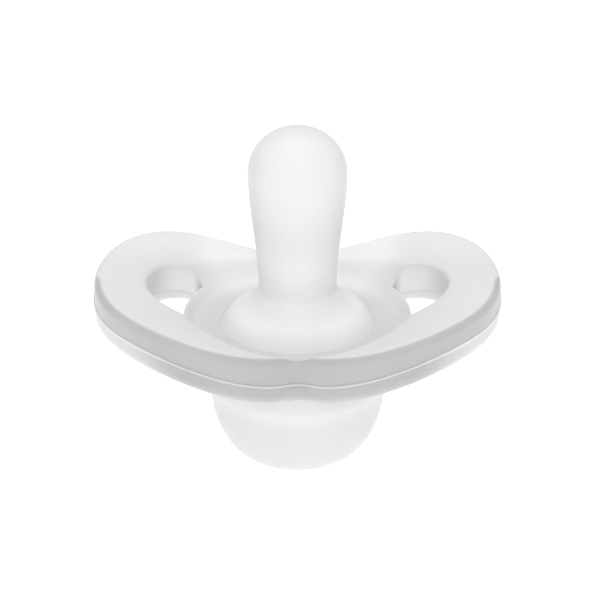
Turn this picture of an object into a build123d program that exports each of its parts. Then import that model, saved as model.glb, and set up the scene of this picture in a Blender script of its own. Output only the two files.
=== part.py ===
"""Silicone pacifier: a hollow teat, a two-half butterfly shield, a plug ring and a hollow knob.

Frame: origin at the centre of the knob's flat base, +Z up along the teat, +X along the shield's wings.
All lengths are millimetres. The two shield halves are bonded along the seam and trap, from the mouth side
down, the teat's flange, the plug ring and the knob's flange in one round pocket.
"""

from build123d import *
from math import atan2, cos, exp, hypot, pi, sin
import os

# ---- shield outline in plan: a radius that varies with the angle, with a small dimple at nose and chin
OUTLINE_MEAN_R = 26.7
OUTLINE_WING = 5.7            # second harmonic: makes the shield wide
OUTLINE_LOBE = 1.4            # fourth harmonic: fills the wings and pinches the waist
DIMPLE_DEPTH = 1.2
DIMPLE_HALF_WIDTH = 3.0
OUTLINE_POINTS = 72

# ---- shield heights: each is the height at the waist, and the wings curl up from there
WING_REACH = 29.0             # distance from the axis where the wings stop rising
RIM_TOP_Z = 24.9
RIM_TOP_RISE = 5.2
SEAM_Z = 20.35
SEAM_RISE = 6.3
REAR_DEPTH = 3.2              # rim wall below the seam
FRONT_DISH = 1.0              # how far the mouth side is dished below its rim
SEAM_DISH = 2.8
RIM_TOP_ROUND = 1.2
RIM_UNDER_ROUND = 1.6

# ---- round moat about the teat's mound
MOAT_Z = 22.2
MOAT_FLAT_R = 15.5
MOAT_CURVE = 0.45             # the moat's outer wall rises as this times the square of the distance past the flat

# ---- vents: an ellipse trimmed by the round hub
VENT_X = 14.5
VENT_HALF_WIDTH = 8.5
VENT_HALF_HEIGHT = 9.6
HUB_R = 17.5
VENT_CORNER_R = 0.9
VENT_TOP_ROUND = 0.3
VENT_UNDER_ROUND = 0.7

# ---- the pocket inside the hub and the stack that it holds
LIP_UNDER_Z = 21.0            # underside of the mouth-side lip that holds the teat's flange
STEP = 1.2                    # thickness of each flange, of the plug ring and of the rear lip
POCKET_R = 14.0
REGISTER_R = 16.4             # inside this radius the two halves meet on a flat ring
BORE_R = 11.8                 # bore of both lips, filled by the teat's mound and the knob's neck
BOSS_R = 15.5
BOSS_ROUND = 0.7
PLUG_BORE_R = 8.6
PLUG_SPIGOT_R = 9.8
PLUG_SPIGOT_HEIGHT = 0.9
TEAT_FLANGE_Z = LIP_UNDER_Z - STEP
PLUG_Z = TEAT_FLANGE_Z - STEP
KNOB_FLANGE_Z = PLUG_Z - STEP
BOSS_Z = KNOB_FLANGE_Z - STEP

# ---- knob
BASE_FLAT_R = 6.0
KNOB_R = 13.5
KNOB_WIDEST_Z = 12.2
KNOB_WALL = 1.6
GROOVE_TOP_Z = BOSS_Z - 0.5   # below here the neck swells into the knob

# ---- teat
TIP_Z = 53.9
BULB_R = 7.55
BULB_Z = 46.9
SHANK_R = 5.95
SHANK_Z = 28.2
MOUND_EDGE_Z = 22.4
TEAT_WALL = 1.5
TIP_FLAT_R = 0.8
GATE_R = 0.6                  # shallow pit left at the tip by the mould's gate
GATE_DEPTH = 0.2

# ---- bead of bonding silicone that stands proud along the seam
BEAD_PROUD = 0.2
BEAD_GAP = 0.03               # left between the bead and the wall so that the solids stay apart
BEAD_HALF_HEIGHT = 0.25

# ---- grid that the free-form surfaces pass through
GRID_HALF_X = 34.0
GRID_HALF_Y = 25.0
GRID_NX = 21
GRID_NY = 15


def outline_radius(angle):
    """Shield radius at an angle from +X, without the dimples."""
    return OUTLINE_MEAN_R + OUTLINE_WING * cos(2 * angle) - OUTLINE_LOBE * cos(4 * angle)


def outline_point(angle, grow):
    """Point of the shield's outline, moved out by grow."""
    r = outline_radius(angle) + grow
    r -= DIMPLE_DEPTH * exp(-((r * cos(angle) / DIMPLE_HALF_WIDTH) ** 2))
    return (r * cos(angle), r * sin(angle))


def wing_rise(x):
    """0 at the waist, 1 where the wings stop rising."""
    return (1 - cos(pi * min(abs(x) / WING_REACH, 1.0))) / 2


def inset(x, y):
    """1 on the axis, 0 on the outline, and negative beyond it."""
    return 1 - (hypot(x, y) / outline_radius(atan2(y, x))) ** 2


def front_height(x, y):
    """The mouth side, a shallow dish, before the moat is turned out of it."""
    return RIM_TOP_Z + RIM_TOP_RISE * wing_rise(x) - FRONT_DISH * inset(x, y)


def seam_height(x, y):
    """The surface on which the two halves are bonded."""
    return SEAM_Z + SEAM_RISE * wing_rise(x) - SEAM_DISH * inset(x, y)


def rear_height(x, y):
    """The underside."""
    return SEAM_Z - REAR_DEPTH + SEAM_RISE * wing_rise(x)


def surface(height):
    """A free-form face through a grid of heights."""
    rows = []
    for i in range(GRID_NX):
        x = GRID_HALF_X * (2 * i / (GRID_NX - 1) - 1)
        ys = [GRID_HALF_Y * (2 * j / (GRID_NY - 1) - 1) for j in range(GRID_NY)]
        rows.append([(x, y, height(x, y)) for y in ys])
    return Face.make_surface_from_array_of_points(rows)


def outline_prism(grow):
    """The outline as a tall block from the base plane to above the wings."""
    angles = [2 * pi * i / OUTLINE_POINTS for i in range(OUTLINE_POINTS)]
    loop = Spline(*[outline_point(a, grow) for a in angles], periodic=True)
    return extrude(make_face(loop), 45)


def disc(radius, low, high):
    """Round block about the axis between two heights."""
    return extrude(Pos(0, 0, low) * Circle(radius), high - low)


def rim_edge(solid, pick):
    """The long closed edge at the top (max) or at the underside (min) of the rim."""
    long_edges = [e for e in solid.edges() if e.length > 120]
    return pick(long_edges, key=lambda e: e.center().Z)


def moat_wall(past):
    """Point on the moat's outer wall, at a distance past its flat floor."""
    return (MOAT_FLAT_R + past, MOAT_Z + MOAT_CURVE * past ** 2)


def moat_cutter():
    """What the moat removes: a flat floor and a wall that curves up out of it."""
    wall = Spline(*[moat_wall(past) for past in (0, 1.2, 2.4, 3.6, 4.8)], tangents=[(1, 0), (1, 4.3)])
    far = moat_wall(4.8)
    rest = Polyline(far, (0, far[1]), (0, MOAT_Z), (MOAT_FLAT_R, MOAT_Z))
    return turned(Curve() + [wall, rest]).rotate(Axis.Z, 90)


def shield_blank():
    """Both halves as one rounded plate with its moat, still without vents or hub."""
    plate = split(outline_prism(0), bisect_by=surface(front_height), keep=Keep.BOTTOM)
    plate = split(plate, bisect_by=surface(rear_height), keep=Keep.TOP)
    plate = fillet(rim_edge(plate, max), RIM_TOP_ROUND)
    plate = fillet(rim_edge(plate, min), RIM_UNDER_ROUND)
    plate -= moat_cutter()
    return plate


def vent_shape(side):
    """One vent in plan: the part of an ellipse outside the hub."""
    shape = Pos(side * VENT_X, 0) * Ellipse(VENT_HALF_WIDTH, VENT_HALF_HEIGHT) - Circle(HUB_R)
    return fillet(shape.vertices(), VENT_CORNER_R)


def vent_mouth(plate, side, under):
    """The edges round one vent on the underside or on the mouth side."""
    edges = [
        e for e in plate.edges()
        if VENT_X - 3 < side * e.center().X < VENT_X + VENT_HALF_WIDTH + 1
        and abs(e.center().Y) < VENT_HALF_HEIGHT + 1
        and e.geom_type != GeomType.LINE
    ]
    return [e for e in edges if (e.center().Z < rear_height(e.center().X, 0) + 1) == under]


def cut_vents(plate):
    """Cuts both vents through and rounds their edges on both faces."""
    for side in (-1, 1):
        plate -= extrude(vent_shape(side), 45)
        plate = fillet(vent_mouth(plate, side, True), VENT_UNDER_ROUND)
        plate = fillet(vent_mouth(plate, side, False), VENT_TOP_ROUND)
    return plate


def make_shield_halves():
    """The mouth-side half and the rear half with its pocket."""
    plate = cut_vents(shield_blank())
    boss = disc(BOSS_R, BOSS_Z, LIP_UNDER_Z)
    boss = fillet(boss.edges().sort_by(Axis.Z)[0], BOSS_ROUND)
    hub = disc(REGISTER_R, 0, 45)
    seam = surface(seam_height)
    wings = plate - hub
    middle = plate & hub
    front = split(wings, bisect_by=seam, keep=Keep.TOP)
    front += middle - disc(REGISTER_R + 1, 0, LIP_UNDER_Z)
    front -= disc(BORE_R, 0, 45)
    rear = split(wings, bisect_by=seam, keep=Keep.BOTTOM)
    rear += middle - disc(REGISTER_R + 1, LIP_UNDER_Z, 45)
    rear += boss
    rear -= disc(POCKET_R, KNOB_FLANGE_Z, 45)
    rear -= disc(BORE_R, 0, 45)
    return front, rear


def turned(profile):
    """Solid of revolution from a closed outline drawn in the XZ plane."""
    return revolve(make_face(Plane.XZ * profile), Axis.Z)


def make_teat():
    """Hollow teat: rounded bulb, slim shank, flared mound and the flange held in the hub."""
    shank_bore = SHANK_R - TEAT_WALL
    bulb_bore = BULB_R - TEAT_WALL
    foot_bore = BORE_R - TEAT_WALL
    foot = Polyline(
        (foot_bore, TEAT_FLANGE_Z), (POCKET_R, TEAT_FLANGE_Z), (POCKET_R, LIP_UNDER_Z),
        (BORE_R, LIP_UNDER_Z), (BORE_R, MOUND_EDGE_Z),
    )
    mound = Spline(
        (BORE_R, MOUND_EDGE_Z), (9.3, 24.75), (SHANK_R, SHANK_Z), tangents=[(-0.8, 0.6), (0, 1)]
    )
    side = Spline((SHANK_R, SHANK_Z), (BULB_R, BULB_Z), tangents=[(0, 1), (0, 1)])
    tip = EllipticalCenterArc(
        (TIP_FLAT_R, BULB_Z), BULB_R - TIP_FLAT_R, TIP_Z - BULB_Z, start_angle=0, arc_size=90
    )
    crown = Polyline((TIP_FLAT_R, TIP_Z), (0, TIP_Z), (0, TIP_Z - TEAT_WALL), (TIP_FLAT_R, TIP_Z - TEAT_WALL))
    roof = EllipticalCenterArc(
        (TIP_FLAT_R, BULB_Z), bulb_bore - TIP_FLAT_R, TIP_Z - TEAT_WALL - BULB_Z, start_angle=0, arc_size=90
    )
    bore = Spline((shank_bore, SHANK_Z), (bulb_bore, BULB_Z), tangents=[(0, 1), (0, 1)])
    throat = Spline(
        (foot_bore, TEAT_FLANGE_Z), (7.3, 23.2), (shank_bore, SHANK_Z), tangents=[(0, 1), (0, 1)]
    )
    teat = turned(Curve() + [foot, mound, side, tip, crown, roof, bore, throat])
    return teat - disc(GATE_R, TIP_Z - GATE_DEPTH, TIP_Z + 1)


def make_knob():
    """Hollow knob with a flat base, a groove under the shield and the flange held in the hub."""
    belly = EllipticalCenterArc(
        (BASE_FLAT_R, KNOB_WIDEST_Z), KNOB_R - BASE_FLAT_R, KNOB_WIDEST_Z, start_angle=270, arc_size=90
    )
    shoulder = Spline((KNOB_R, KNOB_WIDEST_Z), (BORE_R, GROOVE_TOP_Z), tangents=[(0, 1), (-0.25, 1)])
    rim = Polyline(
        (BORE_R, GROOVE_TOP_Z), (BORE_R, KNOB_FLANGE_Z), (POCKET_R, KNOB_FLANGE_Z), (POCKET_R, PLUG_Z),
        (BORE_R - KNOB_WALL, PLUG_Z), (BORE_R - KNOB_WALL, GROOVE_TOP_Z),
    )
    inner_shoulder = Spline(
        (KNOB_R - KNOB_WALL, KNOB_WIDEST_Z), (BORE_R - KNOB_WALL, GROOVE_TOP_Z),
        tangents=[(0, 1), (-0.25, 1)],
    )
    inner_belly = EllipticalCenterArc(
        (BASE_FLAT_R, KNOB_WIDEST_Z), KNOB_R - KNOB_WALL - BASE_FLAT_R, KNOB_WIDEST_Z - KNOB_WALL,
        start_angle=270, arc_size=90,
    )
    floor = Polyline((BASE_FLAT_R, KNOB_WALL), (0, KNOB_WALL), (0, 0), (BASE_FLAT_R, 0))
    return turned(Curve() + [belly, shoulder, rim, inner_shoulder, inner_belly, floor])


def make_plug_ring():
    """Stiff ring between the two flanges, with a spigot that centres the teat."""
    ring = disc(POCKET_R, PLUG_Z, TEAT_FLANGE_Z) + disc(PLUG_SPIGOT_R, PLUG_Z, TEAT_FLANGE_Z + PLUG_SPIGOT_HEIGHT)
    return ring - disc(PLUG_BORE_R, 0, 45)


def seam_loop(grow, lift):
    """Closed curve along the seam, moved out of the rim wall and lifted."""
    points = []
    for i in range(OUTLINE_POINTS):
        x, y = outline_point(2 * pi * i / OUTLINE_POINTS, grow)
        points.append((x, y, SEAM_Z + SEAM_RISE * wing_rise(x) + lift))
    return Spline(*points, periodic=True)


def make_seam_bead():
    """Thin proud bead that runs along the seam, all round the rim."""
    loops = [
        seam_loop(BEAD_GAP, BEAD_HALF_HEIGHT),
        seam_loop(BEAD_PROUD, BEAD_HALF_HEIGHT),
        seam_loop(BEAD_PROUD, -BEAD_HALF_HEIGHT),
        seam_loop(BEAD_GAP, -BEAD_HALF_HEIGHT),
    ]
    return Solid(Shell([Face.make_surface_from_curves(loops[i - 1], loops[i]) for i in range(4)]))


front_shield, rear_shield = make_shield_halves()
parts = {
    "teat": make_teat(),
    "front_shield": front_shield,
    "plug_ring": make_plug_ring(),
    "rear_shield": rear_shield,
    "knob": make_knob(),
    "seam_bead": make_seam_bead(),
}

os.makedirs("parts", exist_ok=True)
for name, shape in parts.items():
    export_step(shape, f"parts/{name}.step")
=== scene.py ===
"""Silicone pacifier that stands on its knob: meshes, materials, floor, light and camera. Metres throughout.

Each piece is a mesh made here from the same driving dimensions as the solid that it replaces. The greys of
the silicone are painted light and shade: a tone that is worked out for every vertex and stored on the mesh.
"""

import math

import bmesh
import bpy
import numpy as np
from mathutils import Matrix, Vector
from mathutils.geometry import delaunay_2d_cdt


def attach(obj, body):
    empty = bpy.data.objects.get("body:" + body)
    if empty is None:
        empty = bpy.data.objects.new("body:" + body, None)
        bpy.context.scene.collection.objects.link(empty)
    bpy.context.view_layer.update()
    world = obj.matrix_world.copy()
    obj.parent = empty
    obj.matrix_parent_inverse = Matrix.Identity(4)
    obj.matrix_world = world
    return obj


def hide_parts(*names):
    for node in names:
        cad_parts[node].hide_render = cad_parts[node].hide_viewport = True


MM = 0.001

# shield outline in plan: a radius that varies with the angle, with a small dimple at nose and chin
OUTLINE_MEAN_R = 26.7 * MM
OUTLINE_WING = 5.7 * MM
OUTLINE_LOBE = 1.4 * MM
DIMPLE_DEPTH = 1.2 * MM
DIMPLE_HALF_WIDTH = 3.0 * MM

# shield heights: each is the height at the waist, and the wings curl up from there
WING_REACH = 29.0 * MM
RIM_TOP_Z = 24.9 * MM
RIM_TOP_RISE = 5.2 * MM
SEAM_Z = 20.35 * MM
SEAM_RISE = 6.3 * MM
REAR_DEPTH = 3.2 * MM
FRONT_DISH = 1.0 * MM
SEAM_DISH = 2.8 * MM
RIM_TOP_ROUND = 1.2 * MM
RIM_UNDER_ROUND = 1.6 * MM
SEAM_ROUND = 0.05 * MM
SEAM_GAP = 0.01 * MM          # each half stops this far short of the seam

# round moat about the teat's mound
MOAT_Z = 22.2 * MM
MOAT_FLAT_R = 15.5 * MM
MOAT_CURVE = 0.45 / MM        # the outer wall rises as this times the square of the distance past the flat
BLEND = 0.7 * MM              # how softly the moat's wall runs into the plate

# vents: each is an ellipse trimmed by the round hub, and slightly shorter on the near side
VENT_X = 14.5 * MM
VENT_MIDDLE_X = 21.8 * MM     # a point inside the vent that its outline is drawn around
VENT_HALF_WIDTH = 8.5 * MM
VENT_HALF_HEIGHT = 9.6 * MM
VENT_NEAR_HALF_HEIGHT = 9.0 * MM
HUB_R = 17.5 * MM
VENT_CORNER_POWER = 14        # the higher, the sharper the corners between ellipse and hub
# centre of the painted shade spot at the vents' inner corners (used only for the tone, not the shape)
VENT_CORNER_X = 14.5 * MM
VENT_CORNER_Y = 9.5 * MM
VENT_TOP_ROUND = 0.7 * MM
VENT_UNDER_ROUND = 0.7 * MM

# the stack inside the hub
LIP_UNDER_Z = 21.0 * MM
STEP = 1.2 * MM
POCKET_R = 14.0 * MM
REGISTER_R = 16.4 * MM
BORE_R = 11.8 * MM
BOSS_R = 15.5 * MM
BOSS_ROUND = 0.7 * MM
BOSS_FILLET = 0.5 * MM
PLUG_BORE_R = 8.6 * MM
PLUG_SPIGOT_R = 9.8 * MM
PLUG_SPIGOT_HEIGHT = 0.9 * MM
TEAT_FLANGE_Z = LIP_UNDER_Z - STEP
PLUG_Z = TEAT_FLANGE_Z - STEP
KNOB_FLANGE_Z = PLUG_Z - STEP
BOSS_Z = KNOB_FLANGE_Z - STEP
SNUG = 0.02 * MM              # clearance between pieces that touch

# knob
BASE_FLAT_R = 6.0 * MM
KNOB_R = 13.5 * MM
KNOB_WIDEST_Z = 12.2 * MM
KNOB_WALL = 1.6 * MM
GROOVE_TOP_Z = BOSS_Z - 0.5 * MM

# teat
TIP_Z = 53.9 * MM
BULB_R = 7.55 * MM
BULB_Z = 46.9 * MM
SHANK_R = 5.95 * MM
SHANK_Z = 28.2 * MM
MOUND_MIDDLE = (9.3 * MM, 24.75 * MM)
MOUND_LEAVE_EDGE = (-1.5 * MM, 1.1 * MM)
MOUND_REACH_MIDDLE = (-2.4 * MM, 1.3 * MM)
MOUND_LEAVE_MIDDLE = (-3.2 * MM, 1.75 * MM)
MOUND_REACH_SHANK = (0, 4.0 * MM)
THROAT_PULL = (0, -6.0 * MM)
TIP_ARC_END = 84              # degrees; from there a short straight runs to the gate's pit
TEAT_WALL = 1.5 * MM
GATE_R = 0.6 * MM
GATE_DEPTH = 0.2 * MM
GATE_DRAFT = 0.1 * MM

# seam bead
BEAD_PROUD = 0.2 * MM
BEAD_HALF_HEIGHT = 0.2 * MM

# mesh densities
OUTLINE_COUNT = 288
VENT_COUNT = 112
HUB_COUNT = 144
LATHE_COUNT = 144
RING_STEPS = 48
ROUNDING_STEPS = 6
BEAD_SIDES = 12
INSET_OF_FILL = 0.35 * MM     # no inner points closer than this to an edge loop
WELD = 1e-7

# camera, as the reference view has it
CAMERA_ELEVATION = 25.0
CAMERA_DISTANCE = 450.0 * MM
CAMERA_TARGET_Z = 26.05 * MM
CAMERA_LENS = 177.9

# light: (position, diameter, watts) of each lamp; all are aimed at the foot of the object
OVERHEAD = ((0, 0.05, 0.9), 0.9, 6.0)
KEY = ((0, -0.7, 0.6), 0.8, 3.0)
LIGHT_AIM = (0, 0, 0.02)
WORLD_STRENGTH = 0.6
EXPOSURE = -0.48
FLOOR_HALF = 3.0
FLOOR_GLOW = 0.7

# colours: silicone at full tone (light) and at no tone (grey, the painted shade), and the plug's plastic
TEAT_LIGHT = (0.97, 0.97, 0.97)
TEAT_PAINTED_SHADE_GREY = (0.75, 0.75, 0.75)
SHIELD_LIGHT = (0.93, 0.93, 0.93)
KNOB_LIGHT = (0.86, 0.86, 0.86)
SEAM_LIGHT = (0.86, 0.86, 0.86)
PAINTED_SHADE_GREY = (0.42, 0.42, 0.42)
PLUG_WHITE = (0.88, 0.88, 0.88)
CLOUDING = 0.12               # how much slow noise is laid over the tone

# where the painted light and shade on the silicone changes: (start, end) of each fade; the near side, far
# side and back get different painted shade, set for the camera in front
NEAR_SIDE = (-2.5 * MM, 0.5 * MM)        # along y
BAND_CLIMB = 0.72 * MM                   # how far the near band climbs over the rim's rounding
BAND_EDGE = (0.03 * MM, 0.45 * MM)       # inward from the band
BAND_WINGS = (20.0 * MM, 28.0 * MM)      # along x
HUB_FADE = (14.5 * MM, 19.0 * MM)        # outward from the axis
WING_FADE = (20.0 * MM, 26.0 * MM)       # outward from the axis
FAR_SIDE = (2.0 * MM, 16.0 * MM)         # along y
BACK_OF_MOAT = (7.0 * MM, 15.0 * MM)     # along y
BACK_WIDTH = (12.0 * MM, 19.0 * MM)      # along x
MOUND_EDGE_WIDTH = 0.5 * MM
VENT_DEPTH = (0.3 * MM, 1.0 * MM)        # down from the mouth side
VENT_HUB_SIDE = (17.6 * MM, 18.4 * MM)   # outward from the axis
VENT_CORNER = (0.6 * MM, 1.8 * MM)       # from the vent's sharp corner
VENT_END = (19.5 * MM, 22.5 * MM)        # along x
REAR_EDGE = (1.6 * MM, 2.4 * MM)         # inward from the rim
REAR_WINGS = (17.0 * MM, 27.0 * MM)      # along x
REAR_WAIST = (6.0 * MM, 18.0 * MM)       # along x
TEAT_FOOT = (28.0 * MM, 40.0 * MM)       # up the teat
MOUND_RIM = (9.6 * MM, 11.8 * MM)        # outward from the axis
BULB_SIDE = (4.5 * MM, 7.5 * MM)         # along x
BULB_HEIGHT = (34.0 * MM, 44.0 * MM)     # up the teat
NECK_START = (26.0 * MM, 29.0 * MM)      # up the teat
NECK_END = (31.0 * MM, 38.0 * MM)        # up the teat
MOUND_FRONT = (2.0 * MM, 8.0 * MM)       # along x
MOUND_TOP = (25.0 * MM, 28.0 * MM)       # up the teat
KNOB_NECK = (8.5 * MM, 15.0 * MM)        # up the knob
SEAM_WINGS = (16.0 * MM, 27.0 * MM)      # along x


# ------------------------------------------------------------------ shape formulas

def outline_radius(angle):
    return OUTLINE_MEAN_R + OUTLINE_WING * np.cos(2 * angle) - OUTLINE_LOBE * np.cos(4 * angle)


def outline_loop():
    """The shield's outline, counterclockwise and evenly spaced."""
    angle = np.linspace(0, 2 * np.pi, 4 * OUTLINE_COUNT, endpoint=False)
    r = outline_radius(angle)
    r = r - DIMPLE_DEPTH * np.exp(-((r * np.cos(angle) / DIMPLE_HALF_WIDTH) ** 2))
    return evenly(np.column_stack((r * np.cos(angle), r * np.sin(angle))), OUTLINE_COUNT)


def wing_rise(x):
    return (1 - np.cos(np.pi * np.minimum(np.abs(x) / WING_REACH, 1.0))) / 2


def inset(x, y):
    return 1 - (np.hypot(x, y) / outline_radius(np.arctan2(y, x))) ** 2


def front_height(x, y):
    """Mouth side: a dished plate, cut lower by the moat, with the crease between them rounded."""
    plate = RIM_TOP_Z + RIM_TOP_RISE * wing_rise(x) - FRONT_DISH * inset(x, y)
    moat = MOAT_Z + MOAT_CURVE * np.maximum(0.0, np.hypot(x, y) - MOAT_FLAT_R) ** 2
    low = np.minimum(plate, moat)
    return low - BLEND * np.log(np.exp(-(plate - low) / BLEND) + np.exp(-(moat - low) / BLEND))


def rim_seam_height(x):
    return SEAM_Z + SEAM_RISE * wing_rise(x)


def seam_height(x, y):
    return rim_seam_height(x) - SEAM_DISH * inset(x, y)


def rear_height(x, y):
    return rim_seam_height(x) - REAR_DEPTH


def vent_loop(side):
    """A vent in plan: an ellipse trimmed by the hub, with rounded corners."""
    angle = np.linspace(0, 2 * np.pi, 8 * VENT_COUNT, endpoint=False)
    ux, uy = np.cos(angle), np.sin(angle)
    # distance from the vent's middle to the ellipse
    half_height = np.where(uy < 0, VENT_NEAR_HALF_HEIGHT, VENT_HALF_HEIGHT)
    a = (ux / VENT_HALF_WIDTH) ** 2 + (uy / half_height) ** 2
    b = (VENT_MIDDLE_X - VENT_X) * ux / VENT_HALF_WIDTH ** 2
    c = ((VENT_MIDDLE_X - VENT_X) / VENT_HALF_WIDTH) ** 2 - 1
    to_ellipse = (-b + np.sqrt(b * b - a * c)) / a
    # distance from the vent's middle to the hub's circle, growing on where the ray misses it
    along = -VENT_MIDDLE_X * ux
    gap = along ** 2 - (VENT_MIDDLE_X ** 2 - HUB_R ** 2)
    to_hub = np.where(gap > 0, along - np.sqrt(np.maximum(gap, 0)), along + 3 * np.sqrt(np.maximum(-gap, 0)))
    to_hub = np.where(ux < 0, to_hub, 1.0)
    r = (to_ellipse ** -VENT_CORNER_POWER + to_hub ** -VENT_CORNER_POWER) ** (-1 / VENT_CORNER_POWER)
    loop = np.column_stack((VENT_MIDDLE_X + r * ux, r * uy))
    if side < 0:
        loop = loop[::-1] * (-1, 1)
    return evenly(loop, VENT_COUNT)


# ------------------------------------------------------------------ mesh tools

def evenly(loop, count):
    """The closed loop again, with evenly spaced points."""
    closed = np.vstack((loop, loop[:1]))
    along = np.concatenate(([0.0], np.cumsum(np.hypot(*np.diff(closed, axis=0).T))))
    want = np.linspace(0, along[-1], count, endpoint=False)
    return np.column_stack((np.interp(want, along, closed[:, 0]), np.interp(want, along, closed[:, 1])))


def circle(radius, count):
    angle = np.linspace(0, 2 * np.pi, count, endpoint=False)
    return np.column_stack((radius * np.cos(angle), radius * np.sin(angle)))


def moved_in(loop, distance):
    """A counterclockwise loop moved toward its inside."""
    along = np.roll(loop, -1, axis=0) - np.roll(loop, 1, axis=0)
    along /= np.hypot(along[:, 0], along[:, 1])[:, None]
    return loop + distance * np.column_stack((-along[:, 1], along[:, 0]))


def inside(points, loop):
    """Which points lie inside a closed loop."""
    x, y = points[:, 0][:, None], points[:, 1][:, None]
    ax, ay = loop[:, 0][None, :], loop[:, 1][None, :]
    bx, by = np.roll(ax, -1, axis=1), np.roll(ay, -1, axis=1)
    crosses = (ay > y) != (by > y)
    with np.errstate(divide="ignore", invalid="ignore"):
        hit = x < (bx - ax) * (y - ay) / (by - ay) + ax
    return (crosses & hit).sum(axis=1) % 2 == 1


class Builder:
    """Collects vertices and faces, and welds them into one object."""

    def __init__(self):
        self.verts = []
        self.faces = []

    def add(self, points):
        start = len(self.verts)
        self.verts += [tuple(p) for p in points]
        return list(range(start, len(self.verts)))

    def ring(self, loop, z):
        return self.add(np.column_stack((loop, np.broadcast_to(z, len(loop)))))

    def stitch(self, one, two):
        """Quads between two rings of one length."""
        n = len(one)
        self.faces += [(one[i], one[(i + 1) % n], two[(i + 1) % n], two[i]) for i in range(n)]

    def rings(self, rings):
        for one, two in zip(rings, rings[1:]):
            self.stitch(one, two)

    def fill(self, outer, holes, height, up):
        """A sheet between an outer loop and holes, with rings of points that run from hub to rim."""
        angle = np.linspace(0, 2 * np.pi, HUB_COUNT, endpoint=False)
        start = np.hypot(*holes[0].T).max()
        rim = outline_radius(angle)
        points = []
        for k in range(1, RING_STEPS):
            r = start + (rim - start) * k / RING_STEPS
            turn = angle + (k % 2) * np.pi / HUB_COUNT
            points.append(np.column_stack((r * np.cos(turn), r * np.sin(turn))))
        points = np.vstack(points)
        keep = inside(points, moved_in(outer, INSET_OF_FILL))
        for hole in holes:
            keep &= ~inside(points, moved_in(hole, -INSET_OF_FILL))
        points = points[keep]
        flat, edges = [], []
        for loop in (outer, *holes):
            base = len(flat)
            flat += [Vector(p) for p in loop]
            edges += [(base + i, base + (i + 1) % len(loop)) for i in range(len(loop))]
        flat += [Vector(p) for p in points]
        got, _, tris, _, _, _ = delaunay_2d_cdt(flat, edges, [], 0, 1e-9)
        xy = np.array([tuple(p) for p in got])
        tris = np.array([tuple(t) for t in tris])
        middle = xy[tris].mean(axis=1)
        good = inside(middle, outer)
        for hole in holes:
            good &= ~inside(middle, hole)
        index = self.add(np.column_stack((xy, height(xy[:, 0], xy[:, 1]))))
        for t in tris[good]:
            a, b, c = (index[i] for i in t)
            self.faces.append((a, b, c) if up else (c, b, a))

    def object(self, name, sharp=40):
        mesh = bpy.data.meshes.new(name)
        mesh.from_pydata(self.verts, [], self.faces)
        bm = bmesh.new()
        bm.from_mesh(mesh)
        bmesh.ops.remove_doubles(bm, verts=bm.verts, dist=WELD)
        bmesh.ops.recalc_face_normals(bm, faces=bm.faces)
        for face in bm.faces:
            face.smooth = True
        bm.to_mesh(mesh)
        bm.free()
        mesh.set_sharp_from_angle(angle=math.radians(sharp))
        obj = bpy.data.objects.new(name, mesh)
        bpy.context.scene.collection.objects.link(obj)
        return obj


def rounding(steps=ROUNDING_STEPS):
    """Pairs (how far in, how far down), as shares of the radius, from the flat to the wall."""
    angle = np.linspace(np.pi / 2, 0, steps + 1)
    return list(zip(1 - np.cos(angle), 1 - np.sin(angle)))


def edge_rings(build, loop, into, top, under, top_round, under_round):
    """The rounded edge and wall round one loop. Returns the loops where the flat sheets begin."""
    made = []
    for share_in, share_down in rounding():
        at = moved_in(loop, into * top_round * share_in)
        made.append(build.ring(at, top(at[:, 0], at[:, 1]) - top_round * share_down))
    wall_top = top(loop[:, 0], loop[:, 1]) - top_round
    wall_low = under(loop[:, 0], loop[:, 1]) + under_round
    for share in (0.25, 0.5, 0.75):
        made.append(build.ring(loop, wall_top + (wall_low - wall_top) * share))
    for share_in, share_down in reversed(rounding()):
        at = moved_in(loop, into * under_round * share_in)
        made.append(build.ring(at, under(at[:, 0], at[:, 1]) + under_round * share_down))
    build.rings(made)
    return moved_in(loop, into * top_round), moved_in(loop, into * under_round)


def turned(name, profile, count=LATHE_COUNT):
    """A lathed object from (radius, height) points; points on the axis close it."""
    build = Builder()
    build.rings([build.ring(circle(max(r, 1e-6), count), z) for r, z in profile])
    return build.object(name)


def arc(cx, cz, rx, rz, start, end, steps=20):
    """Points on an ellipse in the turning plane, with angles in degrees."""
    angle = np.radians(np.linspace(start, end, steps + 1))
    return [(cx + rx * math.cos(a), cz + rz * math.sin(a)) for a in angle]


def sweep(start, end, leave, arrive, steps=16):
    """Points on a cubic from start to end with the given end tangents."""
    out = []
    for t in np.linspace(0, 1, steps + 1):
        h = (2 * t ** 3 - 3 * t ** 2 + 1, t ** 3 - 2 * t ** 2 + t, 3 * t ** 2 - 2 * t ** 3, t ** 3 - t ** 2)
        r, z = (h[0] * start[i] + h[1] * leave[i] + h[2] * end[i] + h[3] * arrive[i] for i in (0, 1))
        out.append((r, z))
    return out


# ------------------------------------------------------------------ pieces

def make_front_shield():
    """Mouth-side half: top sheet, rim wall, vents, and the lip with its register step underneath."""
    build = Builder()
    outline = outline_loop()

    def under(x, y):
        return seam_height(x, y) + SEAM_GAP

    tops, unders = [], []
    top, low = edge_rings(build, outline, 1, front_height, under, RIM_TOP_ROUND, SEAM_ROUND)
    for side in (1, -1):
        a, b = edge_rings(build, vent_loop(side), -1, front_height, under, VENT_TOP_ROUND, SEAM_ROUND)
        tops.append(a)
        unders.append(b)
    bore = circle(BORE_R + SNUG, HUB_COUNT)
    register = circle(REGISTER_R, HUB_COUNT)
    build.fill(top, [bore, *tops], front_height, True)
    build.fill(low, [register, *unders], under, False)
    build.rings([
        build.ring(bore, front_height(bore[:, 0], bore[:, 1])),
        build.ring(bore, LIP_UNDER_Z),
        build.ring(register, LIP_UNDER_Z),
        build.ring(register, under(register[:, 0], register[:, 1])),
    ])
    return build.object("front_shield_skin")


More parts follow.
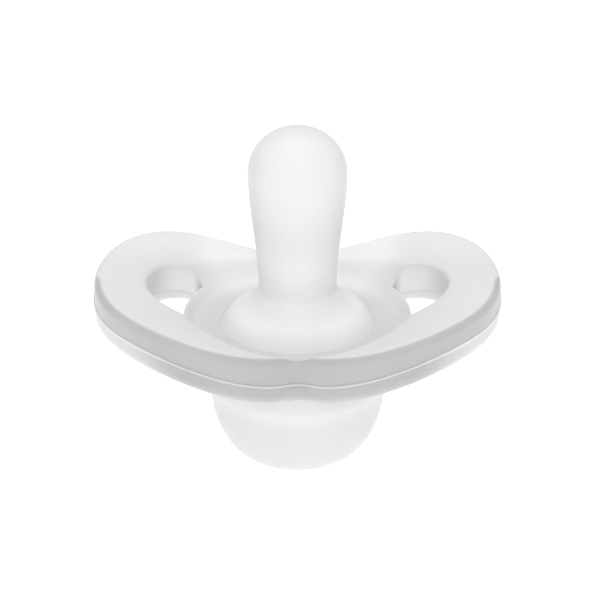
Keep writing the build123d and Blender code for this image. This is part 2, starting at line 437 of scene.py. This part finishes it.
def make_rear_shield():
    """Rear half: underside, rim wall, vents, and the boss with the pocket for the flanges."""
    build = Builder()
    outline = outline_loop()

    def top(x, y):
        return seam_height(x, y) - SEAM_GAP

    tops, unders = [], []
    high, low = edge_rings(build, outline, 1, top, rear_height, SEAM_ROUND, RIM_UNDER_ROUND)
    for side in (1, -1):
        a, b = edge_rings(build, vent_loop(side), -1, top, rear_height, SEAM_ROUND, VENT_UNDER_ROUND)
        tops.append(a)
        unders.append(b)
    register = circle(REGISTER_R - SNUG, HUB_COUNT)
    foot = circle(BOSS_R + BOSS_FILLET, HUB_COUNT)
    build.fill(high, [register, *tops], top, True)
    build.fill(low, [foot, *unders], rear_height, False)
    rings = [build.ring(register, top(register[:, 0], register[:, 1]))]
    rings.append(build.ring(register, LIP_UNDER_Z - SNUG))
    for r, z in (
        (POCKET_R + SNUG, LIP_UNDER_Z - SNUG), (POCKET_R + SNUG, KNOB_FLANGE_Z - SNUG),
        (BORE_R + SNUG, KNOB_FLANGE_Z - SNUG), (BORE_R + SNUG, BOSS_Z),
    ):
        rings.append(build.ring(circle(r, HUB_COUNT), z))
    for r, z in arc(BOSS_R - BOSS_ROUND, BOSS_Z + BOSS_ROUND, BOSS_ROUND, BOSS_ROUND, -90, 0, ROUNDING_STEPS):
        rings.append(build.ring(circle(r, HUB_COUNT), z))
    for share_in, share_down in reversed(rounding()):
        at = circle(BOSS_R + BOSS_FILLET * share_in, HUB_COUNT)
        rings.append(build.ring(at, rear_height(at[:, 0], at[:, 1]) - BOSS_FILLET * share_down))
    build.rings(rings)
    return build.object("rear_shield_skin")


def make_seam_bead():
    """A rounded bead that follows the seam round the rim wall."""
    build = Builder()
    outline = outline_loop()
    rings = []
    for a in np.linspace(0, 2 * np.pi, BEAD_SIDES, endpoint=False):
        at = moved_in(outline, -BEAD_PROUD * math.cos(a))
        rings.append(build.ring(at, rim_seam_height(outline[:, 0]) + BEAD_HALF_HEIGHT * math.sin(a)))
    build.rings(rings + rings[:1])
    return build.object("seam_bead_line", 180)


def make_teat():
    """Hollow teat, turned: flange, mound, shank, bulb, gate pit, and back down the inside."""
    bulb_bore = BULB_R - TEAT_WALL
    shank_bore = SHANK_R - TEAT_WALL
    foot_bore = BORE_R - TEAT_WALL
    rise = BULB_Z - SHANK_Z
    profile = [(foot_bore, TEAT_FLANGE_Z), (POCKET_R, TEAT_FLANGE_Z), (POCKET_R, LIP_UNDER_Z - SNUG)]
    profile += [(BORE_R, LIP_UNDER_Z - SNUG)]
    profile += sweep((BORE_R, MOAT_Z - SNUG), MOUND_MIDDLE, MOUND_LEAVE_EDGE, MOUND_REACH_MIDDLE, 18)
    profile += sweep(MOUND_MIDDLE, (SHANK_R, SHANK_Z), MOUND_LEAVE_MIDDLE, MOUND_REACH_SHANK, 14)[1:]
    profile += sweep((SHANK_R, SHANK_Z), (BULB_R, BULB_Z), (0, rise), (0, rise), 30)[1:]
    profile += arc(0, BULB_Z, BULB_R, TIP_Z - BULB_Z, 0, TIP_ARC_END, 26)[1:]
    profile += [(GATE_R, TIP_Z), (GATE_R - GATE_DRAFT, TIP_Z - GATE_DEPTH), (0, TIP_Z - GATE_DEPTH)]
    profile += [(0, TIP_Z - TEAT_WALL)]
    profile += arc(0, BULB_Z, bulb_bore, TIP_Z - TEAT_WALL - BULB_Z, 90, 0, 20)[1:]
    profile += sweep((bulb_bore, BULB_Z), (shank_bore, SHANK_Z), (0, -rise), (0, -rise), 24)[1:]
    profile += sweep((shank_bore, SHANK_Z), (foot_bore, TEAT_FLANGE_Z), THROAT_PULL, THROAT_PULL, 16)[1:]
    return turned("teat_skin", profile)


def make_knob():
    """Hollow knob, turned: flat base, belly, groove, flange, and back down the inside."""
    bore = BORE_R - KNOB_WALL
    belly_in = KNOB_R - KNOB_WALL
    profile = [(0, 0), (BASE_FLAT_R, 0)]
    profile += arc(BASE_FLAT_R, KNOB_WIDEST_Z, KNOB_R - BASE_FLAT_R, KNOB_WIDEST_Z, -90, 0, 30)[1:]
    rise = GROOVE_TOP_Z - KNOB_WIDEST_Z
    profile += sweep((KNOB_R, KNOB_WIDEST_Z), (BORE_R, GROOVE_TOP_Z), (0, rise), (-0.5 * rise, rise), 12)[1:]
    profile += [(BORE_R, KNOB_FLANGE_Z), (POCKET_R, KNOB_FLANGE_Z), (POCKET_R, PLUG_Z), (bore, PLUG_Z)]
    profile += sweep((bore, GROOVE_TOP_Z), (belly_in, KNOB_WIDEST_Z), (0.5 * rise, -rise), (0, -rise), 12)
    profile += arc(
        BASE_FLAT_R, KNOB_WIDEST_Z, belly_in - BASE_FLAT_R, KNOB_WIDEST_Z - KNOB_WALL, 0, -90, 24
    )[1:]
    profile += [(0, KNOB_WALL)]
    return turned("knob_skin", profile)


def make_plug():
    """Stiff ring between the two flanges, with its spigot."""
    spigot_top = TEAT_FLANGE_Z + PLUG_SPIGOT_HEIGHT
    profile = [
        (PLUG_BORE_R, PLUG_Z + SNUG), (POCKET_R - SNUG, PLUG_Z + SNUG),
        (POCKET_R - SNUG, TEAT_FLANGE_Z - SNUG), (PLUG_SPIGOT_R, TEAT_FLANGE_Z - SNUG),
        (PLUG_SPIGOT_R, spigot_top), (PLUG_BORE_R, spigot_top), (PLUG_BORE_R, PLUG_Z + SNUG),
    ]
    return turned("plug_ring_part", profile)


# ------------------------------------------------------------------ materials

class Nodes:
    """Short calls for building a node tree."""

    def __init__(self, name):
        self.material = bpy.data.materials.new(name)
        self.material.use_nodes = True
        self.tree = self.material.node_tree
        self.shader = self.tree.nodes["Principled BSDF"]

    def new(self, kind, **values):
        node = self.tree.nodes.new(kind)
        for key, value in values.items():
            if hasattr(node, key):
                setattr(node, key, value)
            else:
                node.inputs[key.replace("_", " ")].default_value = value
        return node

    def link(self, out, into):
        self.tree.links.new(out, into)


def silicone(name, light, dark, roughness=0.36, depth=0.2):
    """Translucent white silicone with painted light and shade: light where the painted tone is high, dark
    where it is low.
    """
    n = Nodes(name)
    place = n.new("ShaderNodeTexCoord")
    cloud = n.new("ShaderNodeTexNoise", Scale=110.0, Detail=3.0, Roughness=0.5)
    n.link(place.outputs["Object"], cloud.inputs["Vector"])
    # the painted light and shade stored on each vertex
    tone = n.new("ShaderNodeAttribute", attribute_name="tone")
    drift = n.new("ShaderNodeMath", operation="MULTIPLY_ADD")
    n.link(cloud.outputs["Fac"], drift.inputs[0])
    drift.inputs[1].default_value = CLOUDING
    n.link(tone.outputs["Fac"], drift.inputs[2])
    level = n.new("ShaderNodeMath", operation="SUBTRACT", use_clamp=True)
    n.link(drift.outputs["Value"], level.inputs[0])
    level.inputs[1].default_value = CLOUDING / 2
    # mixes the painted shade grey and the light colour by the painted tone
    shade_and_grain_mix = n.new("ShaderNodeMix", data_type="RGBA")
    shade_and_grain_mix.inputs["A"].default_value = (*dark, 1)
    shade_and_grain_mix.inputs["B"].default_value = (*light, 1)
    n.link(level.outputs["Value"], shade_and_grain_mix.inputs["Factor"])
    n.link(shade_and_grain_mix.outputs["Result"], n.shader.inputs["Base Color"])
    grain = n.new("ShaderNodeTexNoise", Scale=1800.0, Detail=2.0)
    n.link(place.outputs["Object"], grain.inputs["Vector"])
    finish = n.new("ShaderNodeMapRange")
    finish.inputs["To Min"].default_value = roughness - 0.05
    finish.inputs["To Max"].default_value = roughness + 0.07
    n.link(grain.outputs["Fac"], finish.inputs["Value"])
    n.link(finish.outputs["Result"], n.shader.inputs["Roughness"])
    bump = n.new("ShaderNodeBump", Strength=0.08, Distance=0.00003)
    n.link(grain.outputs["Fac"], bump.inputs["Height"])
    n.link(bump.outputs["Normal"], n.shader.inputs["Normal"])
    n.shader.inputs["Subsurface Weight"].default_value = depth
    n.shader.inputs["Subsurface Radius"].default_value = (1.0, 1.0, 1.0)
    n.shader.inputs["Subsurface Scale"].default_value = 0.0008
    n.shader.inputs["IOR"].default_value = 1.41
    n.shader.inputs["Specular IOR Level"].default_value = 0.35
    return n.material


def smooth(value, start, end):
    """0 at start, 1 at end, eased between."""
    t = np.clip((value - start) / (end - start), 0, 1)
    return t * t * (3 - 2 * t)


def paint_light_and_shade(piece, rule):
    """Stores a tone of painted light and shade on each vertex: 0 dark, 1 light. rule gets the vertices' x, y
    and z.
    """
    mesh = piece.data
    at = np.empty(3 * len(mesh.vertices))
    mesh.vertices.foreach_get("co", at)
    at = at.reshape(-1, 3)
    tone = mesh.attributes.new("tone", "FLOAT", "POINT")
    tone.data.foreach_set("value", rule(at[:, 0], at[:, 1], at[:, 2]))
    return piece


def from_rim(x, y):
    """How far inside the outline a point is, along its radius."""
    angle = np.arctan2(y, x)
    r = outline_radius(angle)
    return r - DIMPLE_DEPTH * np.exp(-((r * np.cos(angle) / DIMPLE_HALF_WIDTH) ** 2)) - np.hypot(x, y)


def front_painted_light_and_shade(x, y, z):
    """Painted shade: grey on the outer wall and the near rounding, a little grey over the hub; painted light
    on the far side, at the back of the moat, at the mound's edge and in the vents, with painted shade at the
    vents' hub side, corners and outer ends.
    """
    r = np.hypot(x, y)
    # painted shade band on the rim wall, climbing further over the rounding on the near (camera) side
    near = 1 - smooth(y, *NEAR_SIDE)
    off_wall = smooth(from_rim(x, y) - BAND_CLIMB * near, *BAND_EDGE)
    # painted light at the back of the moat, behind the teat
    back = smooth(y, *BACK_OF_MOAT) * (1 - smooth(np.abs(x), *BACK_WIDTH))
    # painted light in a thin ring over the shade of the crease where mound and moat meet
    mound_edge = 1 - smooth(np.abs(r - BORE_R), 0.0, MOUND_EDGE_WIDTH)
    # painted shade over the hub, painted lighter toward the wings and on the far side
    plate = 0.4 + 0.16 * smooth(r, *HUB_FADE) + 0.1 * smooth(r, *WING_FADE)
    plate += 0.12 * smooth(y, *FAR_SIDE) + 0.28 * back + 0.1 * mound_edge
    # vent walls: painted light, with painted shade at the hub side, at the inner corners and at the outer
    # ends
    in_vent = smooth(front_height(x, y) - z, *VENT_DEPTH)
    corner = np.hypot(np.abs(x) - VENT_CORNER_X, np.abs(y) - VENT_CORNER_Y)
    open_side = np.minimum(smooth(r, *VENT_HUB_SIDE), smooth(corner, *VENT_CORNER))
    wall = 0.2 + 0.65 * open_side * (1 - 0.5 * smooth(np.abs(x), *VENT_END))
    # the painted shade on the band is a little lighter toward the wings
    grey = 0.14 + 0.07 * smooth(np.abs(x), *BAND_WINGS)
    return grey + (1 - grey) * off_wall * (plate + (wall - plate) * in_vent)


def rear_painted_shade(x, y, z):
    """Painted shade: grey on the wall at the waist, lighter toward the wings."""
    # painted shade on the rim wall, strongest at the waist, with the underside inside the rim kept lighter
    off_wall = smooth(from_rim(x, y), *REAR_EDGE)
    wing = smooth(np.abs(x), *REAR_WINGS)
    waist = 1 - smooth(np.abs(x), *REAR_WAIST)
    return np.maximum(0.7 * off_wall, 0.1 + 0.02 * waist + 0.45 * wing)


def teat_painted_light_and_shade(x, y, z):
    """Painted light at the foot, over the hollow hub, and at the neck; painted shade at the bulb's sides, the
    mound's edge and the lit front of the mound.
    """
    # painted light at the foot and the neck, over the shade where the teat meets the shield; painted shade at
    # the bulb's sides, the mound's rim and over the lit front of the mound
    foot = 1 - smooth(z, *TEAT_FOOT)
    edge = smooth(np.hypot(x, y), *MOUND_RIM)
    side = smooth(np.abs(x), *BULB_SIDE) * smooth(z, *BULB_HEIGHT)
    neck = smooth(z, *NECK_START) * (1 - smooth(z, *NECK_END))
    lit = (1 - smooth(np.abs(x), *MOUND_FRONT)) * (1 - smooth(z, *MOUND_TOP))
    return (0.33 - 0.33 * side + 0.52 * foot + 0.3 * neck - 0.26 * lit) * (1 - 0.85 * edge)


def knob_painted_light(x, y, z):
    """Painted light toward the neck under the shield, over the shade that the shield casts there."""
    return 0.64 + 0.34 * smooth(z, *KNOB_NECK)


def seam_painted_shade(x, y, z):
    """Painted shade: greyer at the waist; painted light toward the wings."""
    return 0.5 + 0.45 * smooth(np.abs(x), *SEAM_WINGS)


def plastic(name, colour):
    """Natural moulded plastic with a fine grain."""
    n = Nodes(name)
    place = n.new("ShaderNodeTexCoord")
    grain = n.new("ShaderNodeTexNoise", Scale=1500.0, Detail=3.0)
    n.link(place.outputs["Object"], grain.inputs["Vector"])
    shade_and_grain_mix = n.new("ShaderNodeMix", data_type="RGBA")
    shade_and_grain_mix.inputs["A"].default_value = (*colour, 1)
    shade_and_grain_mix.inputs["B"].default_value = (*[c * 0.93 for c in colour], 1)
    n.link(grain.outputs["Fac"], shade_and_grain_mix.inputs["Factor"])
    n.link(shade_and_grain_mix.outputs["Result"], n.shader.inputs["Base Color"])
    bump = n.new("ShaderNodeBump", Strength=0.15, Distance=0.00003)
    n.link(grain.outputs["Fac"], bump.inputs["Height"])
    n.link(bump.outputs["Normal"], n.shader.inputs["Normal"])
    n.shader.inputs["Roughness"].default_value = 0.5
    return n.material


def floor_material():
    """Pale matt sweep that glows a little, so that it stays white under the object."""
    n = Nodes("pale_floor")
    place = n.new("ShaderNodeTexCoord")
    mottle = n.new("ShaderNodeTexNoise", Scale=6.0, Detail=3.0)
    n.link(place.outputs["Object"], mottle.inputs["Vector"])
    shade_and_grain_mix = n.new("ShaderNodeMix", data_type="RGBA")
    shade_and_grain_mix.inputs["A"].default_value = (0.97, 0.97, 0.97, 1)
    shade_and_grain_mix.inputs["B"].default_value = (1.0, 1.0, 1.0, 1)
    n.link(mottle.outputs["Fac"], shade_and_grain_mix.inputs["Factor"])
    n.link(shade_and_grain_mix.outputs["Result"], n.shader.inputs["Base Color"])
    n.shader.inputs["Roughness"].default_value = 0.9
    n.shader.inputs["Emission Color"].default_value = (1, 1, 1, 1)
    n.shader.inputs["Emission Strength"].default_value = FLOOR_GLOW
    return n.material


# ------------------------------------------------------------------ stage

def make_floor():
    mesh = bpy.data.meshes.new("floor")
    h = FLOOR_HALF
    mesh.from_pydata([(-h, -h, 0), (h, -h, 0), (h, h, 0), (-h, h, 0)], [], [(0, 1, 2, 3)])
    floor = bpy.data.objects.new("floor", mesh)
    bpy.context.scene.collection.objects.link(floor)
    floor.data.materials.append(floor_material())


def area_light(name, position, size, power):
    """A round lamp aimed at the object."""
    data = bpy.data.lights.new(name, "AREA")
    data.shape = "DISK"
    data.size = size
    data.energy = power
    light = bpy.data.objects.new(name, data)
    light.location = position
    light.rotation_euler = (Vector(LIGHT_AIM) - Vector(position)).to_track_quat("-Z", "Y").to_euler()
    bpy.context.scene.collection.objects.link(light)


def make_lights():
    area_light("overhead", *OVERHEAD)
    area_light("key", *KEY)
    world = bpy.data.worlds.new("studio")
    world.use_nodes = True
    world.node_tree.nodes["Background"].inputs["Color"].default_value = (1, 1, 1, 1)
    world.node_tree.nodes["Background"].inputs["Strength"].default_value = WORLD_STRENGTH
    bpy.context.scene.world = world


def make_camera():
    data = bpy.data.cameras.new("camera")
    data.lens = CAMERA_LENS
    data.sensor_width = 36.0
    data.clip_start = 0.01
    data.clip_end = 50.0
    camera = bpy.data.objects.new("camera", data)
    e = math.radians(CAMERA_ELEVATION)
    back = Vector((0, -math.cos(e), math.sin(e)))
    camera.location = Vector((0, 0, CAMERA_TARGET_Z)) + back * CAMERA_DISTANCE
    camera.rotation_euler = (math.radians(90.0 - CAMERA_ELEVATION), 0, 0)
    bpy.context.scene.collection.objects.link(camera)
    bpy.context.scene.camera = camera


# ------------------------------------------------------------------ the scene

def place(piece, node, slot, material):
    """Gives a piece its material, and puts it on the root body in the place of its CAD node."""
    piece.data.materials.append(material)
    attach(piece, "root")
    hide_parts(node)


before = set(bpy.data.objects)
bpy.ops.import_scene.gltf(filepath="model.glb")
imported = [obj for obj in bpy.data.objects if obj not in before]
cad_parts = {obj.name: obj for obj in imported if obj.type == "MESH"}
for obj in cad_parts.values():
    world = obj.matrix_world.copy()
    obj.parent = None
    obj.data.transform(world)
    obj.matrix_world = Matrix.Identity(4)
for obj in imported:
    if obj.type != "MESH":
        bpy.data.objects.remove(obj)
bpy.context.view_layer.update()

teat_look = silicone("teat_silicone", TEAT_LIGHT, TEAT_PAINTED_SHADE_GREY)
shield_look = silicone("shield_silicone", SHIELD_LIGHT, PAINTED_SHADE_GREY)
knob_look = silicone("knob_silicone", KNOB_LIGHT, PAINTED_SHADE_GREY)
seam_look = silicone("seam_silicone", SEAM_LIGHT, PAINTED_SHADE_GREY, roughness=0.25, depth=0.0)
plug_look = plastic("plug_plastic", PLUG_WHITE)

place(paint_light_and_shade(make_teat(), teat_painted_light_and_shade), "teat", "teat_silicone", teat_look)
place(paint_light_and_shade(make_front_shield(), front_painted_light_and_shade), "front_shield", "shield_silicone", shield_look)
place(paint_light_and_shade(make_rear_shield(), rear_painted_shade), "rear_shield", "shield_silicone", shield_look)
place(paint_light_and_shade(make_knob(), knob_painted_light), "knob", "knob_silicone", knob_look)
place(paint_light_and_shade(make_seam_bead(), seam_painted_shade), "seam_bead", "seam_silicone", seam_look)
place(make_plug(), "plug_ring", "plug_plastic", plug_look)

make_floor()
make_lights()
make_camera()
bpy.context.scene.view_settings.view_transform = "Standard"
bpy.context.scene.view_settings.exposure = EXPOSURE
